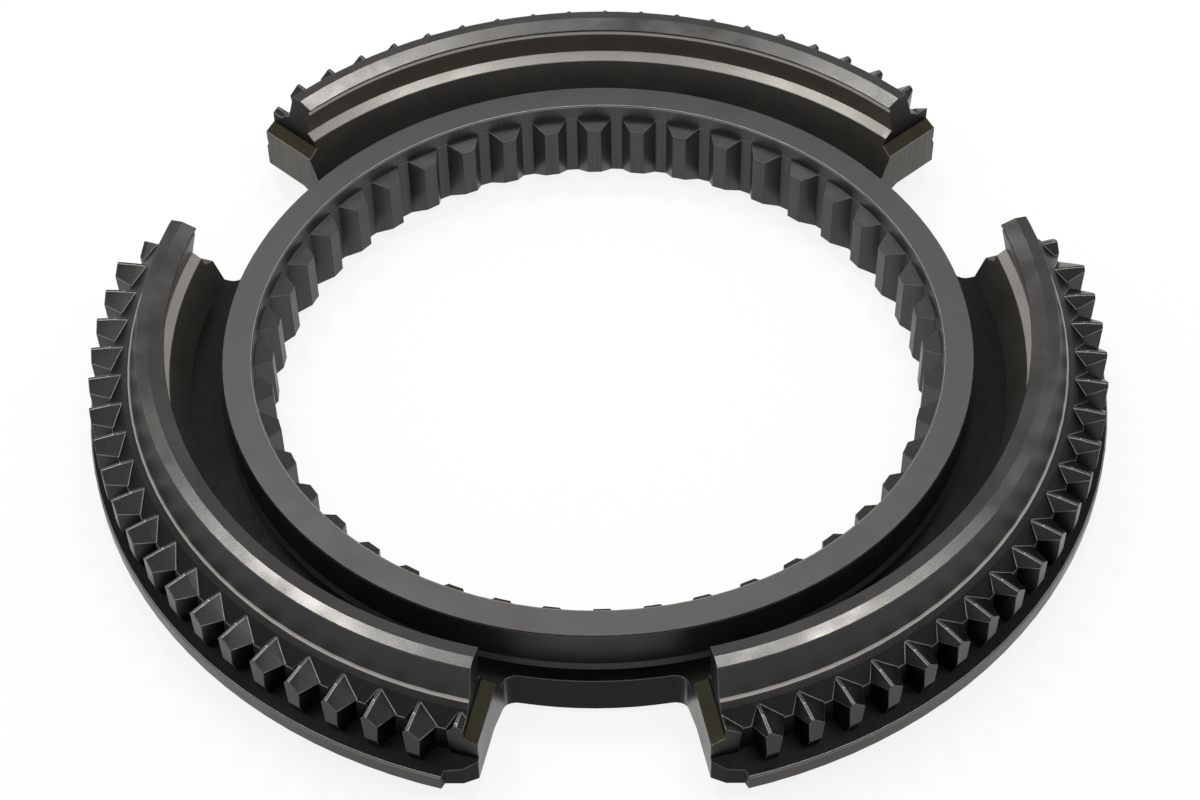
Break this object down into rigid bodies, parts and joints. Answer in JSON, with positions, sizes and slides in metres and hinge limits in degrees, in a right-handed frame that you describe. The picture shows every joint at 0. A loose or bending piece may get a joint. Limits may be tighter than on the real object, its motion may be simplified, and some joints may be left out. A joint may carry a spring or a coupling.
{
  "type": "synchronizer ring",
  "caption": "Steel synchronizer ring with a splined hub, an upright friction wall, pointed dog teeth on its flange and slots through the wall.",
  "frame": {"origin": "centre of the bore at the underside of the hub", "axes": "+Z along the ring's axis, from the hub's underside towards the crown of the friction wall; the slots lie at 45, 165 and 285 degrees from +X"},
  "size_m": [0.2387, 0.2387, 0.0317],
  "materials": {
    "machined_steel": "machined, satin, lightly oiled"
  },
  "bodies": {
    "root": {"synchronizer_ring": "machined_steel"}
  },
  "joints": []
}
